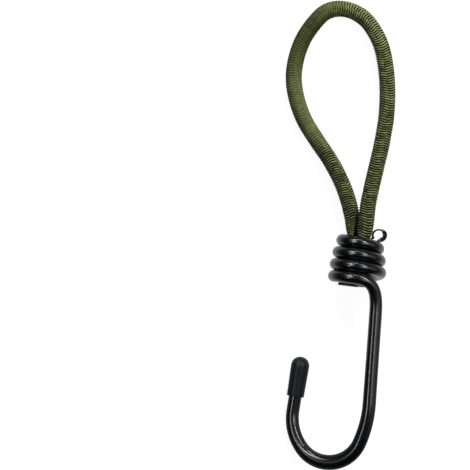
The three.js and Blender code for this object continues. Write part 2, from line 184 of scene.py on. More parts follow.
def weld(piece):
    """Joins the doubled points at a piece's poles, and keeps its corners sharp."""
    shape = bmesh.new()
    shape.from_mesh(piece.data)
    bmesh.ops.remove_doubles(shape, verts=shape.verts, dist=same_point)
    bmesh.ops.dissolve_degenerate(shape, edges=shape.edges, dist=same_point)
    shape.to_mesh(piece.data)
    shape.free()
    piece.data.set_sharp_from_angle(angle=sharp_deg * degree)
    return piece


def swept(points, side, other, x, y):
    """A profile carried along a path: each point is its station plus x of its side and y of the other."""
    return points[:, None] + side[:, None] * x[..., None] + other[:, None] * y[..., None]


def report(piece):
    """Prints what a piece holds."""
    low = np.array([v[:] for v in piece.bound_box]).min(0)
    high = np.array([v[:] for v in piece.bound_box]).max(0)
    size = " x ".join(f"{v:.1f}" for v in (high - low) / mm)
    print(f"{piece.name}: {len(piece.data.polygons)} faces, {size} mm")


# %% [markdown]
# ## The coil's own directions
#
# The hook's wire is wound round the two cord ends as a cone. Its axis runs from the shank's end to the
# loop, turned a little in plan and dipping towards the table, as a cone's axis does when it lies there.
# All that the coil holds is placed by these three directions.

# %% The coil
wire_radius = 1.4 * mm
bore_radius = 1.5 * mm
coil_coat_radius = 2.08 * mm
hook_coat_radius = 2.48 * mm
coil_wide_radius = 8.87 * mm
coil_narrow_radius = 6.2 * mm
coil_lead = 4.61 * mm
coil_first_deg = 90
coil_last_deg = 1375
coil_axis = (7.5 * mm, 26.1 * mm)
coil_yaw = 4.2 * degree
coil_dip = 5 * degree
flat_depth = 0.5 * mm
coil_point_count = 2500

coil_along = np.array([
    math.sin(coil_yaw) * math.cos(coil_dip),
    math.cos(coil_yaw) * math.cos(coil_dip),
    -math.sin(coil_dip),
])
up = np.array([0.0, 0.0, 1.0])
coil_right = unit(np.cross(coil_along, up))
coil_front = np.cross(coil_right, coil_along)


def coil_offsets(turn_deg):
    """A conical helix: along the axis by the lead for each turn, and out by a radius that falls with the
    square of the way along, so that the wide turns are nearly alike."""
    share = (turn_deg - coil_first_deg) / (coil_last_deg - coil_first_deg)
    radius = coil_wide_radius - (coil_wide_radius - coil_narrow_radius) * share**2
    along = coil_lead * (turn_deg - coil_first_deg) / 360
    angle = turn_deg * degree
    return (
        along[:, None] * coil_along
        + (radius * np.cos(angle))[:, None] * coil_right
        + (radius * np.sin(angle))[:, None] * coil_front
    )


turn_deg = np.linspace(coil_last_deg, coil_first_deg, coil_point_count)
coil_lowest = coil_offsets(turn_deg)[:, 2].min() - coil_coat_radius
coil_foot = np.array([*coil_axis, -coil_lowest - flat_depth])
coil_points = coil_offsets(turn_deg) + coil_foot
print("coil: foot at", (coil_foot / mm).round(2), "mm")

# %% [markdown]
# ## The cord's route
#
# The cord is one piece from cut end to cut end: up through the coil, round the loop and back. Its free
# length is seen from end to end in the photograph, so its route is that of the picture. A spline through
# a few chosen points is how a soft cord bends, with no flat places between them. Simulated rope would
# settle somewhere else.

# %% Where the two ends pass the coil
cord_radius = 3.18 * mm
tail_overhang = 2.2 * mm
clip_distance = 5 * mm
clip_height = 4 * mm
clip_low, clip_high = clip_distance - clip_height, clip_distance + clip_height
pair_turn = 40 * degree
neck_bore_radius = coil_narrow_radius - coil_coat_radius
tail_shares = (0.92, 1.02, 0.97)
clipped_shares = (0.78, 0.94, 0.84)
neck_shares = (0.465, 0.74, 0.5)
free_shares = (1, 1, 1.07)
swell_place = 2.2 * coil_lead
neck_first = 2.7 * coil_lead
neck_middle = 3.2 * coil_lead
neck_last = 3.39 * coil_lead
free_place = 4.27 * coil_lead

pair_along = coil_right * math.cos(pair_turn) + coil_front * math.sin(pair_turn)
pair_across = np.cross(coil_along, pair_along)
squeeze_places = np.array([-tail_overhang, clip_low, clip_high, neck_first, neck_last, free_place])
squeeze_shares = (tail_shares, clipped_shares, clipped_shares, neck_shares, neck_shares, free_shares)
squeeze_scales = [cord_radius] * 3 + [neck_bore_radius] * 2 + [cord_radius]
squeeze_rows = np.array(squeeze_shares) * np.array(squeeze_scales)[:, None]


def squeezed(distance):
    """Half width towards the partner, half width across and distance off the axis, at distances along the
    coil's axis: smooth steps from each row of the table to the next."""
    row = np.clip(np.searchsorted(squeeze_places, distance) - 1, 0, len(squeeze_places) - 2)
    start, end = squeeze_places[row], squeeze_places[row + 1]
    share = smooth((distance - start) / (end - start))[:, None]
    return squeeze_rows[row] + (squeeze_rows[row + 1] - squeeze_rows[row]) * share


def tail_knots(hand):
    """Knots of one cord end on its own side of the coil's axis: -1 is the left end, 1 the right."""
    distance = np.array([
        -tail_overhang,
        clip_distance - clip_height / 2,
        clip_distance,
        clip_distance + clip_height / 2,
        swell_place,
        neck_first,
        neck_middle,
        neck_last,
    ])
    off_axis = squeezed(distance)[:, 2:]
    return coil_foot + distance[:, None] * coil_along + hand * off_axis * pair_along


# %% The free loop, and the whole route
loop_route = np.array([
    [6.3, 47.3, 6.1], [5.6, 51.1, 5.8], [4.2, 56.8, 5.2], [1.3, 64.4, 4.5], [-2.7, 72.1, 4.0],
    [-7.8, 79.7, 3.6], [-12.5, 87.4, 3.4], [-15.3, 95.0, 3.3], [-16.5, 102.6, 3.3], [-15.7, 110.3, 3.3],
    [-13.0, 117.9, 3.3], [-8.9, 124.1, 3.3], [-4.5, 128.4, 3.3], [0.4, 129.8, 3.3], [6.1, 128.8, 3.3],
    [11.2, 125.4, 3.3], [15.0, 119.9, 3.3], [17.3, 114.1, 3.4], [18.7, 106.5, 3.6], [19.2, 98.8, 4.0],
    [19.0, 91.2, 4.6], [18.1, 83.6, 5.4], [16.6, 75.9, 6.4], [14.8, 68.3, 7.6], [13.0, 60.6, 8.9],
    [11.7, 54.0, 10.0], [10.9, 47.3, 10.9],
]) * mm


def cord_spline(knots, steps=200):
    """Centripetal Catmull-Rom: between two knots runs a cubic, whose slopes at both come from the
    neighbouring knots, each weighed by the square root of its distance."""
    padded = np.vstack([2 * knots[0] - knots[1], knots, 2 * knots[-1] - knots[-2]])
    p0, p1, p2, p3 = padded[:-3], padded[1:-2], padded[2:-1], padded[3:]
    root_steps = np.linalg.norm(np.diff(padded, axis=0), axis=1, keepdims=True) ** 0.5
    d0, d1, d2 = root_steps[:-2], root_steps[1:-1], root_steps[2:]
    slope1 = ((p1 - p0) / d0 - (p2 - p0) / (d0 + d1) + (p2 - p1) / d1) * d1
    slope2 = ((p2 - p1) / d1 - (p3 - p1) / (d1 + d2) + (p3 - p2) / d2) * d1
    t = (np.arange(steps) / steps)[None, :, None]
    start, end, slope1, slope2 = p1[:, None], p2[:, None], slope1[:, None], slope2[:, None]
    cubic = start + slope1 * t + (3 * (end - start) - 2 * slope1 - slope2) * t**2
    cubic = cubic + (2 * (start - end) + slope1 + slope2) * t**3
    return np.vstack([cubic.reshape(-1, 3), knots[-1:]])


cord_knots = np.vstack([tail_knots(-1), loop_route, tail_knots(1)[::-1]])
cord_line = cord_spline(cord_knots)
cord_length = way_along(cord_line)[-1]
print("cord: cut end to cut end", round(cord_length / mm, 1), "mm")

# %% [markdown]
# ## The braided sheath
#
# Sixteen carriers braid the sheath two over, two under. Each bundle of yarn shows as a short float that
# lies almost square to the cord, and the floats stack in eight columns that lean left and right by turns,
# like herringbone. The rubber pulls them together into round ribs with gaps between, and the gaps are
# painted dark as shade. Along the left leg and the crown's left side the ribs are half closed up, and
# the yarn is painted darker and lighter along the cord, as light and shade. The whole braid also rolls
# a little to and fro about the cord, which was pulled by hand.
#
# A bump map would leave the outline smooth, and the real one is notched, so the ribs are in the mesh. The
# height at a place is worked out from the two sets of helices: each yarn is a rounded bar that rises in
# its own columns and dives in the others, and the higher of the two sets wins. The rings of the mesh
# zigzag with the floats, so that a crest always has points on it.

# %% Braid sizes
columns_round = 8
column_steps = 7
rib_steps = 6
rib_share = 0.295
rib_lean = 0.42
rib_step_share = 1 / 6
straight_ribs = 6
yarn_width_share = 0.58
yarn_half_height = 0.36 * mm
yarn_dive = 0.12 * mm
braid_depth = yarn_half_height + yarn_dive
closed_share = 0.55
closed_from = 48 * mm
closed_to = 132 * mm
closed_fade = 18 * mm
tone_seed = 11
tone_spread = 0.45
tone_width_share = 0.08
tone_height_share = 0.12
# Painted light and shade along the cord: the yarn is darker on the crown's left side and lighter on its
# right side.
painted_light_places = np.array([45, 66, 84, 97, 108, 121, 134, 150, 170]) * mm
painted_light_steps = (-0.15, -0.4, -0.4, -1.15, -1.3, -0.35, 1.2, 0.75, -0.1)

float_count = round(cord_length / (rib_share * cord_radius))
rib_pitch = cord_length / float_count
braid_random = np.random.default_rng(tone_seed)
print("braid:", float_count, "ribs of", round(rib_pitch / mm, 3), "mm")


# %% The braid's height
def flat_wave(turn):
    """A sine of half turns with flatter tops: the sine over the root of its square and a constant."""
    wave = np.sin(math.pi * turn)
    flatness = 0.5
    return wave * math.sqrt(1 + flatness**2) / np.sqrt(wave**2 + flatness**2)


def rounded_bar(phase, width):
    """The top of a round bar: the root of one less the square of the way from its middle."""
    across = np.abs((phase + 0.5) % 1 - 0.5) / (0.5 * width)
    return np.sqrt(np.clip(1 - across**2, 0, 1))


def braid_height(way, column, tones):
    """The braid's height over its lowest place and its tone, for distances along the cord and places round
    it counted in columns. One set of yarns climbs, the other falls, and each is up in every second column.
    The higher one is on top, and where the ribs are closed up the height goes part of the way to the full
    one. The tone is the float's own plus painted light and shade that change slowly along the cord."""
    climbing = way / rib_pitch - rib_lean * (column - 0.5)
    falling = way / rib_pitch + rib_lean * (column - 1.5) + rib_step_share
    lift = yarn_dive * flat_wave(column)
    float_row = np.round(np.where(lift > 0, climbing, falling)).astype(int)
    tone = tones[np.floor(column).astype(int) % columns_round, float_row % float_count]
    width = yarn_width_share * (1 + tone_width_share * tone)
    high = yarn_half_height * (1 + tone_height_share * tone)
    one = lift + high * rounded_bar(climbing, width)
    two = -lift + high * rounded_bar(falling, width)
    closing, opening = (way - closed_from) / closed_fade, (closed_to - way) / closed_fade
    closed = closed_share * smooth(closing) * smooth(opening)
    height = np.maximum(one, two) * (1 - closed) + braid_depth * closed
    # The slow part added here is painted light and shade along the cord.
    return height, tone * (1 - closed) ** 2 + np.interp(way, painted_light_places, painted_light_steps)


# %% The sheath's skin
sheath_wall = 0.55 * mm
splay_length = 3 * mm
splay_distance = 2 * mm
frame_points = 4000
bore_rings = 150
roll_length = 58 * mm
slow_roll = 0.35
quick_roll = 0.2
quick_roll_rate = 2.3
quick_roll_start = 1


def sheath_rings():
    """The outer skin, one ring for each sixth of a rib: the column gives the angle, and the ring's places
    along the cord zigzag with the floats, but run straight at the cut ends."""
    column = np.arange(columns_round * column_steps) / column_steps
    ring_way = np.linspace(0, cord_length, float_count * rib_steps + 1)
    climb = np.abs((column + 1) % 2 - 1) - 0.5
    end_way = straight_ribs * rib_pitch
    fade = smooth(ring_way / end_way) * smooth((cord_length - ring_way) / end_way)
    way = ring_way[:, None] + fade[:, None] * climb[None] * rib_lean * rib_pitch
    return way, np.broadcast_to(column[None], way.shape)


def cord_section(way, angle, radius):
    """Points of the cord's skin: a circle of a given radius round the route, pressed flat along and across
    the pair's direction where the two ends pass the coil, and splayed to the left at the left cut end."""
    picked = np.clip(way, 0, cord_length).ravel()
    lines = (frame_line, frame_side, frame_other)
    centre, side, other = (read_off(picked, frame_way, line) for line in lines)
    reach, turn = radius.ravel()[:, None], angle.ravel()[:, None]
    offset = side * (reach * np.cos(turn)) + other * (reach * np.sin(turn))
    press = squeezed((centre - coil_foot) @ coil_along) / cord_radius
    offset = offset + pair_along * dot(offset, pair_along) * (press[:, 0:1] - 1)
    offset = offset + pair_across * dot(offset, pair_across) * (press[:, 1:2] - 1)
    splay = splay_distance * smooth(1 - picked / splay_length)[:, None]
    leftness = (1 - dot(offset, coil_right) / cord_radius) / 2
    return (centre + offset - splay * leftness * coil_right).reshape(*way.shape, 3)


frame_way = np.linspace(0, cord_length, frame_points)
frame_line = spaced(cord_line, frame_way)
frame_guide = np.broadcast_to(up, frame_line.shape)
frame_side, frame_other = carried_frames(frame_line, frame_guide, pair_along[None])[1:]

skin_way, skin_column = sheath_rings()
tones = np.clip(braid_random.normal(0, tone_spread, (columns_round, float_count)), -1, 1)
skin_height, skin_tone_and_painted_light = braid_height(skin_way, skin_column, tones)
roll_turn = 2 * math.pi * (skin_way / roll_length)
roll = slow_roll * np.sin(roll_turn) + quick_roll * np.sin(roll_turn * quick_roll_rate + quick_roll_start)
skin_angle = skin_column * (2 * math.pi / columns_round) + roll
skin = cord_section(skin_way, skin_angle, cord_radius - braid_depth + skin_height)

bore_way = np.linspace(0, cord_length, bore_rings)[::-1, None] + np.zeros((1, skin.shape[1]))
bore_angle = skin_angle[:1] + np.zeros_like(bore_way)
bore = cord_section(bore_way, bore_angle, np.full(bore_way.shape, cord_radius - sheath_wall))

cord_sheath = new_piece("cord_sheath", np.concatenate([skin, bore]), closed_rows=True)
report(cord_sheath)

# %% [markdown]
# The yarn's fine threads run along each float, so the skin needs a map that follows the floats: one
# direction along the yarn, the other across the ribs. The corners of each face carry it, because it jumps
# from column to column. How high each place lies, how light it is and how far it is from a cut end go
# along as attributes; how light it is holds each float's own tone and the painted light and shade along
# the cord. Where the two legs touch, the height is taken as low, which paints shade into their groove.

# %% The sheath's map and attributes
sides = skin.shape[1]
face_row = np.arange(len(cord_sheath.data.polygons)) // sides
face_column = np.arange(len(cord_sheath.data.polygons)) % sides
corner_row = face_row[:, None] + np.array([0, 0, 1, 1])
corner_column = face_column[:, None] + np.array([0, 1, 1, 0])
column_width = 2 * math.pi * cord_radius / columns_round
odd_column = (face_column // column_steps % 2)[:, None]
map_along = corner_column / column_steps * column_width
map_across = (corner_row / rib_steps + rib_step_share * odd_column) * rib_pitch
yarn_map = cord_sheath.data.uv_layers.new(name="yarn")
yarn_map.uv.foreach_set("vector", np.stack([map_along, map_across], -1).astype(np.float32).ravel())

groove_shade_reach = 80 * mm
groove_shade_width = 1.7 * mm
leg_points = 120
left_leg = spaced(cord_line, np.linspace(0, groove_shade_reach, leg_points))
right_leg = spaced(cord_line, np.linspace(cord_length - groove_shade_reach, cord_length, leg_points))


def distance_to(line, points):
    """The least distance from each point of a grid to the points of a line: the squares of both, less
    twice their product."""
    flat = points.reshape(-1, 3)
    squares = (flat**2).sum(1)[:, None] + (line**2).sum(1) - 2 * flat @ line.T
    return np.sqrt(squares.min(1)).reshape(points.shape[:2])


half = len(skin) // 2
partner_way = np.concatenate([distance_to(right_leg, skin[:half]), distance_to(left_leg, skin[half:])])
# Painted shade: near the other leg the lift is scaled down, so the groove between the legs is painted
# dark.
outside_groove_shade = smooth((partner_way - cord_radius) / groove_shade_width)

# Each attribute has its values on the skin, and one value for the whole bore.
sheath_attributes = {
    # The lift is the rib height that paints shade into the gaps between the ribs, and it is lowered in the
    # groove between the legs as painted shade there.
    "lift": (outside_groove_shade * skin_height / braid_depth, 0),
    # The tone holds each float's own tone plus the painted light and shade along the cord.
    "tone": (skin_tone_and_painted_light, 0),
    "cut_way": (np.minimum(skin_way, cord_length - skin_way), cord_length),
}
for label, (on_skin, on_bore) in sheath_attributes.items():
    values = np.full(len(cord_sheath.data.vertices), on_bore, np.float32)
    values[: on_skin.size] = on_skin.ravel()
    cord_sheath.data.attributes.new(label, "FLOAT", "POINT").data.foreach_set("value", values)
    print(f"{label}: from {values.min():.3f} to {values.max():.3f}")

# %% [markdown]
# ## The rubber core
#
# Inside the sheath run round rubber strands, one in the middle and six about it. They show only where the
# cord is cut. Each is a plain round sweep along the same route.

# %% Rubber strands
strand_gap = 0.22 * mm
strand_radius = (cord_radius - sheath_wall - 2 * strand_gap) / 3
strand_circle_radius = 2 * strand_radius + strand_gap
strand_count = 6
strand_sides = 12
strand_rings = 260
strand_bevel = 0.08 * mm


def bevelled_rod(length, radius, bevel, rings):
    """Distances along a rod and its radius at each: a point in the middle of each end, a rim drawn in by
    the bevel, and the full radius between."""
    way = np.concatenate([[0, 0], np.linspace(bevel, length - bevel, rings), [length, length]])
    reach = np.concatenate([[0, radius - bevel], np.full(rings, radius), [radius - bevel, 0]])
    return way, reach


def rubber_strand(name, middle_x, middle_y):
    """A round rod carried along the cord, off its middle."""
    way, reach = bevelled_rod(cord_length, strand_radius, strand_bevel, strand_rings)
    turn = angles_round(strand_sides)
    x = middle_x + reach[:, None] * np.cos(turn)
    y = middle_y + reach[:, None] * np.sin(turn)
    grid = cord_section(way[:, None] + np.zeros_like(x), np.arctan2(y, x), np.hypot(x, y))
    return weld(new_piece(name, grid))


strands = [rubber_strand("rubber_core", 0, 0)]
for number in range(strand_count):
    place = 2 * math.pi * number / strand_count
    middle = (strand_circle_radius * math.cos(place), strand_circle_radius * math.sin(place))
    strands.append(rubber_strand(f"rubber_core_{number + 1}", *middle))
report(strands[0])

# %% [markdown]
# The imported sheath and strands are hidden, and the new ones keep their shapes in the frame.

# %% The cord's place in the frame
sheath_nodes = ["sheath_left_leg", "sheath_crown", "sheath_right_leg"]

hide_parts(*sheath_nodes)
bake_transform(cord_sheath)
for number, strand in enumerate(strands):
    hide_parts(f"rubber_strand_{number + 1}")
    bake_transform(strand)

print("cord: declared,", len(strands), "strands with it")

# %% [markdown]
# ## The hook's wire and its coat
#
# One steel wire makes the coil, the shank, the bend and the arm. From above, the hook is a straight
# shank, three arcs and a straight arm, so its heading is a line with corners and its place is the sum of
# small steps along that heading. The hook's plane tilts about its shank until the cap rests on the table.

# %% The hook's route
shank_beside_axis = 7.14 * mm
shank_below_coil = 12.1 * mm
shank_above_axis = 6 * mm
shank_lean_deg = 4
shank_length = 34.7 * mm
upper_arc = (45 * mm, 20.2)
lower_arc = (12.57 * mm, 118.3)
arm_arc = (19.4 * mm, 46.6)
arm_length = 5.5 * mm
cap_length = 15.3 * mm
cap_end_wall = 1.4 * mm
cap_skirt_radius = 3.3 * mm
cap_lip = 0.08 * mm
hook_points = 4001

arc_lengths = [radius * turning * degree for radius, turning in (upper_arc, lower_arc, arm_arc)]
run_lengths = np.array([shank_length, *arc_lengths, arm_length, cap_length - cap_end_wall])
run_turns = np.array([0, upper_arc[1], lower_arc[1], arm_arc[1], 0, 0]) * degree
run_ends = np.concatenate([[0], np.cumsum(run_lengths)])
run_headings = -math.pi / 2 - shank_lean_deg * degree - np.concatenate([[0], np.cumsum(run_turns)])

hook_way = np.linspace(0, run_ends[-1], hook_points)
middle_way = (hook_way[1:] + hook_way[:-1]) / 2
heading = np.interp(middle_way, run_ends, run_headings)
strides = np.stack([np.cos(heading), np.sin(heading)], 1) * np.diff(hook_way)[:, None]
shank_top = np.array([coil_axis[0] + shank_beside_axis, coil_axis[1] - shank_below_coil])
hook_plan = shank_top + np.vstack([[0, 0], np.cumsum(strides, 0)])

shank_height = coil_foot[2] + shank_above_axis
rim_x = np.interp(run_ends[-2], hook_way, hook_plan[:, 0])
hook_slope = min(
    (shank_height - hook_coat_radius) / (shank_top[0] - hook_plan[:, 0].min()),
    (shank_height - cap_skirt_radius - cap_lip) / (shank_top[0] - rim_x),
)
hook_height = shank_height - hook_slope * (shank_top[0] - hook_plan[:, 0])
hook_line = np.column_stack([hook_plan, hook_height])
hook_normal = unit([-hook_slope, 0, 1])
print("hook: slope", round(math.degrees(math.atan(hook_slope)), 2), "degrees")

# %% [markdown]
# Between the coil's last turn and the shank only both ends and their headings are known, so the wire
# follows a cubic Bezier curve: its two handles say how far it keeps each heading. The frames that carry
# the wire's circle then turn smoothly from the coil's axis to the hook's plane.

# %% From the coil into the shank
exit_coil_handle = 5.5 * mm
exit_shank_handle = 9.5 * mm
exit_points = 400
guide_lead = 6 * mm
ring_gap = 0.5 * mm

exit_heading = unit(coil_points[-1] - coil_points[-2])
shank_heading = unit(hook_line[1] - hook_line[0])
t = np.linspace(0, 1, exit_points)[1:-1, None]
exit_line = (
    (1 - t) ** 3 * coil_points[-1]
    + 3 * (1 - t) ** 2 * t * (coil_points[-1] + exit_coil_handle * exit_heading)
    + 3 * (1 - t) * t**2 * (hook_line[0] - exit_shank_handle * shank_heading)
    + t**3 * hook_line[0]
)
whole_line = np.vstack([coil_points, exit_line, hook_line])
coil_way = way_along(coil_points)[-1]
wire_length = way_along(whole_line)[-1]
hook_start = wire_length - run_ends[-1]
wire_way = np.linspace(0, wire_length, round(wire_length / ring_gap))
wire_line = spaced(whole_line, wire_way)
exit_share = smooth((wire_way - coil_way + guide_lead) / (hook_start - coil_way + guide_lead))[:, None]
wire_guide = unit(coil_along * (1 - exit_share) + hook_normal * exit_share)
wire_tangent, wire_side, wire_other = carried_frames(wire_line, wire_guide, coil_right[None])
print("wire:", round(wire_length / mm, 1), "mm,", len(wire_way), "rings")

# %% [markdown]
# The plastic is a little thinner on the coil, where neighbouring turns touch, than on the hook, and the
# bend was spread in its own plane when it was formed. So the coat's radius is a smooth function of the
# way along the wire, and a second one widens it in the hook's plane. The coat is a sleeve: an outer
# skin, a cut rim with a small round, and the bore for the wire.

# %% The coat
visual_coil_radius = 2.29 * mm
bend_swell_share = 1.17
swell_rise_shares = (0, 5 / 16, 10 / 16, 1)
swell_fall_shares = (1, 7 / 13, 0)
coat_sides = 40
bore_ring_step = 3
rim_round = 0.25 * mm
rim_points = 5
tiny = 1e-9

bend_middle = run_ends[2] + run_lengths[2] / 2
hook_place = wire_way - hook_start
rise = np.interp(hook_place, [*run_ends[:3], bend_middle], swell_rise_shares)
fall = np.interp(hook_place, [bend_middle, run_ends[3], run_ends[4]], swell_fall_shares)
bend_swell = 1 + (bend_swell_share - 1) * np.minimum(smooth(rise), smooth(fall))


def wire_section(way, radius, sides):
    """A circle carried along the wire, and on the hook widened in its plane by the bend's swell. The tiny
    number is there so that a place where the wire runs square to that plane still has a direction."""
    picked = np.clip(way, 0, wire_length)
    lines = (wire_line, wire_tangent, wire_side, wire_other)
    centre, tangent, side, other = (read_off(picked, wire_way, line)[:, None] for line in lines)
    turn = angles_round(sides)[:, None]
    offset = (side * np.cos(turn) + other * np.sin(turn)) * radius[:, None, None]
    across = unit(np.cross(hook_normal, tangent) + tiny)
    wider = np.where(picked > hook_start, np.interp(picked, wire_way, bend_swell), 1)
    return centre + offset + across * dot(offset, across) * (wider - 1)[:, None, None]


def coat_radius(way):
    """The coil's coat radius, going smoothly over to the hook's while the wire leaves the coil."""
    share = smooth((way - coil_way) / (hook_start - coil_way))
    return visual_coil_radius + (hook_coat_radius - visual_coil_radius) * share


quarter = np.linspace(0, math.pi / 2, rim_points)
rim_way = rim_round * (1 - np.sin(quarter))[::-1]
rim_drop = rim_round * (1 - np.cos(quarter))[::-1]
outer_way = np.concatenate([rim_way, wire_way[2:-1], [wire_length]])
outer_radius = coat_radius(outer_way)
outer_radius[: len(rim_way)] -= rim_drop
outer = wire_section(outer_way, outer_radius, coat_sides)
inner_way = wire_way[::bore_ring_step][::-1]
inner = wire_section(inner_way, np.full(inner_way.shape, bore_radius), coat_sides)
coat_grid = np.concatenate([outer, inner])
coat_grid[..., 2] = np.maximum(coat_grid[..., 2], 0)
coat = new_piece("hook_coat_black", coat_grid, closed_rows=True)
coat.data.set_sharp_from_angle(angle=sharp_deg * degree)
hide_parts("hook_coat")
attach(coat, "hook")
report(coat)

# %% [markdown]
# The wire itself shows only as a bright disc where it was cut, at the coil's narrow end.

# %% The steel wire
wire_bevel = 0.15 * mm
steel_rings = 400
steel_sides = 20

steel_way, steel_radius = bevelled_rod(wire_length, wire_radius, wire_bevel, steel_rings)
steel = weld(new_piece("steel_wire", wire_section(steel_way, steel_radius, steel_sides)))
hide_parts("hook_wire")
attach(steel, "hook")
report(steel)

# %% [markdown]
# When the coated wire was cut, a thin strip of plastic was drawn out and sprang back as a curl. It is a
# flat ribbon that leaves the cut end, goes round once, and ends at the next turn. It stands on edge at
# its left and turns flat at its right, and thins out from its root, so its section changes on the way.

# %% The curled strip
curl_half = (2.3 * mm, 2.0 * mm)
curl_centre = (4.65 * mm, 1.65 * mm)
curl_thin = 0.32 * mm
curl_root_thin = 0.5 * mm
curl_root_share = 0.45
curl_broad = 0.85 * mm
curl_flat_deg = -25
curl_flat_gain = 1.25
curl_from_deg = 205
curl_to_deg = -80
curl_foot_deg = 1112
curl_root = 0.3 * mm
curl_knots = 64
curl_knot_steps = 8
curl_rings = 74
curl_sides = 16
curl_squareness = 0.6

cut_end = coil_points[0]
curl_foot = coil_offsets(np.array([curl_foot_deg]))[0] + coil_foot
share = np.linspace(0, 1, curl_knots)
angle = (curl_from_deg + (curl_to_deg - curl_from_deg) * share) * degree
curl_line = np.column_stack([
    cut_end[0] + curl_centre[0] + curl_half[0] * np.cos(angle),
    cut_end[1] + curl_centre[1] + curl_half[1] * np.sin(angle),
    cut_end[2] + (curl_foot[2] - cut_end[2]) * share,
])
root = cut_end + (coil_coat_radius - curl_root) * coil_right
toe = curl_foot + (coil_coat_radius - curl_root) * coil_along
curl_route = cord_spline(np.vstack([root, curl_line, toe]), curl_knot_steps)
curl_line = spaced(curl_route, np.linspace(0, way_along(curl_route)[-1], curl_rings))
curl_middle = cut_end[:2] + np.array(curl_centre)
curl_angle = np.arctan2(*(curl_line[:, :2] - curl_middle).T[::-1])
curl_turned = smooth(curl_flat_gain * np.cos(curl_angle - curl_flat_deg * degree))
curl_tangent = unit(np.gradient(curl_line, axis=0))
curl_out = np.column_stack([curl_line[:, :2] - curl_middle, np.zeros(len(curl_line))])
curl_other = unit(curl_out - curl_tangent * dot(curl_out, curl_tangent))
curl_side = np.cross(curl_other, curl_tangent)


def squarer(wave):
    """A wave raised to a power under one with its sign kept, which makes a circle nearly a square."""
    return np.sign(wave) * np.abs(wave) ** curl_squareness


turn = angles_round(curl_sides)
curl_share = np.linspace(0, 1, curl_rings)
curl_edge = curl_root_thin + (curl_thin - curl_root_thin) * smooth(curl_share / curl_root_share)
curl_flat = curl_edge + (curl_broad - curl_edge) * curl_turned
curl_x = (curl_broad + curl_edge - curl_flat)[:, None] * squarer(np.cos(turn))
curl_y = curl_flat[:, None] * squarer(np.sin(turn))
curl_skin = swept(curl_line, curl_side, curl_other, curl_x, curl_y)
curl_start, curl_end = (np.broadcast_to(curl_line[end], (1, curl_sides, 3)) for end in (0, -1))
curl_grid = np.concatenate([curl_start, curl_skin, curl_end])
curl = weld(new_piece("coat_curl", curl_grid))
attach(curl, "hook")
report(curl)

# %% [markdown]
# ## The tip cap
#
# A soft moulded cap is pushed on the hook's tip. It is turned about its own axis: bore, rolled rim, a
# skirt that swells towards the nose, and a round nose. So it is a profile of radius against height, spun
# round, with more points where it bends.

# %% The cap's profile
cap_bore_radius = 2.68 * mm
cap_tip_radius = 3.5 * mm
cap_floor = 14.2 * mm
cap_sides = 72
lip_length = 0.6 * mm
lip_groove = 0.15 * mm
bore_mouth = 0.2 * mm
lip_points = 9
skirt_points = 14
nose_points = 13

quarter = np.linspace(0, math.pi / 2, nose_points)
lip_arc = np.linspace(-math.pi / 2, math.pi / 2, lip_points)
lip_middle = lip_length / 2
lip_out = cap_skirt_radius + cap_lip - lip_middle
lip_radius = lip_out + lip_middle * np.cos(lip_arc)
lip_height = lip_middle + lip_middle * np.sin(lip_arc)
skirt_end = cap_length - cap_tip_radius
skirt_height = np.linspace(lip_length + lip_groove, skirt_end, skirt_points)[:-1]
skirt_share = (skirt_height - skirt_height[0]) / (skirt_end - skirt_height[0])
skirt_radius = cap_skirt_radius + (cap_tip_radius - cap_skirt_radius) * smooth(skirt_share)
nose_radius = cap_tip_radius * np.cos(quarter)
nose_height = skirt_end + cap_tip_radius * np.sin(quarter)
bore_radii = [0, cap_bore_radius, cap_bore_radius]
bore_heights = [cap_floor, cap_floor, bore_mouth]
profile_radius = np.concatenate([bore_radii, lip_radius, skirt_radius, nose_radius])
profile_height = np.concatenate([bore_heights, lip_height, skirt_height, nose_height])

cap_start = read_off(run_ends[-2], hook_way, hook_line)
cap_axis = unit(hook_line[-1] - hook_line[-2])
cap_x = unit(np.cross(up, cap_axis))
cap_y = np.cross(cap_axis, cap_x)
turn = angles_round(cap_sides)
spoke = np.cos(turn)[:, None] * cap_x + np.sin(turn)[:, None] * cap_y
cap_grid = cap_start + profile_height[:, None, None] * cap_axis + profile_radius[:, None, None] * spoke
cap_grid[..., 2] = np.maximum(cap_grid[..., 2], 0)
cap = weld(new_piece("soft_cap", cap_grid))
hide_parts("tip_cap")
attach(cap, "hook")
report(cap)

# %% [markdown]
# ## Finishes
#
# Each finish has a fine grain of its own size, so the grain is a node group with named sockets: noise
# at a real size, put out as a height. It works on object coordinates, which on this object are metres.

# %% Colours and group tools
def plain(code):
    """A colour written as six hexadecimal digits, as the linear values that the shader takes."""
    value = np.array([int(code[i : i + 2], 16) for i in (0, 2, 4)]) / 255
    linear = np.where(value <= 0.04045, value / 12.92, ((value + 0.055) / 1.055) ** 2.4)
    return (*linear, 1.0)


def new_group(name, inputs, outputs):
    """An empty shader group with float inputs and outputs, and its two end nodes."""
    group = bpy.data.node_groups.new(name, "ShaderNodeTree")
    sockets = group.interface
    sockets.new_socket("Coordinates", in_out="INPUT", socket_type="NodeSocketVector")
    for label, value in inputs.items():
        sockets.new_socket(label, in_out="INPUT", socket_type="NodeSocketFloat").default_value = value
    for label in outputs:
        sockets.new_socket(label, in_out="OUTPUT", socket_type="NodeSocketFloat")
    return group, group.nodes.new("NodeGroupInput"), group.nodes.new("NodeGroupOutput")


def node(tree, kind, links=(), **values):
    """A node of a kind, with settings or socket values set by name and inputs linked to given sockets."""
    made = tree.nodes.new(kind)
    for label, value in values.items():
        if label in made.inputs:
            made.inputs[label].default_value = value
        else:
            setattr(made, label, value)
    for label, socket in dict(links).items():
        tree.links.new(socket, made.inputs[label])
    return made


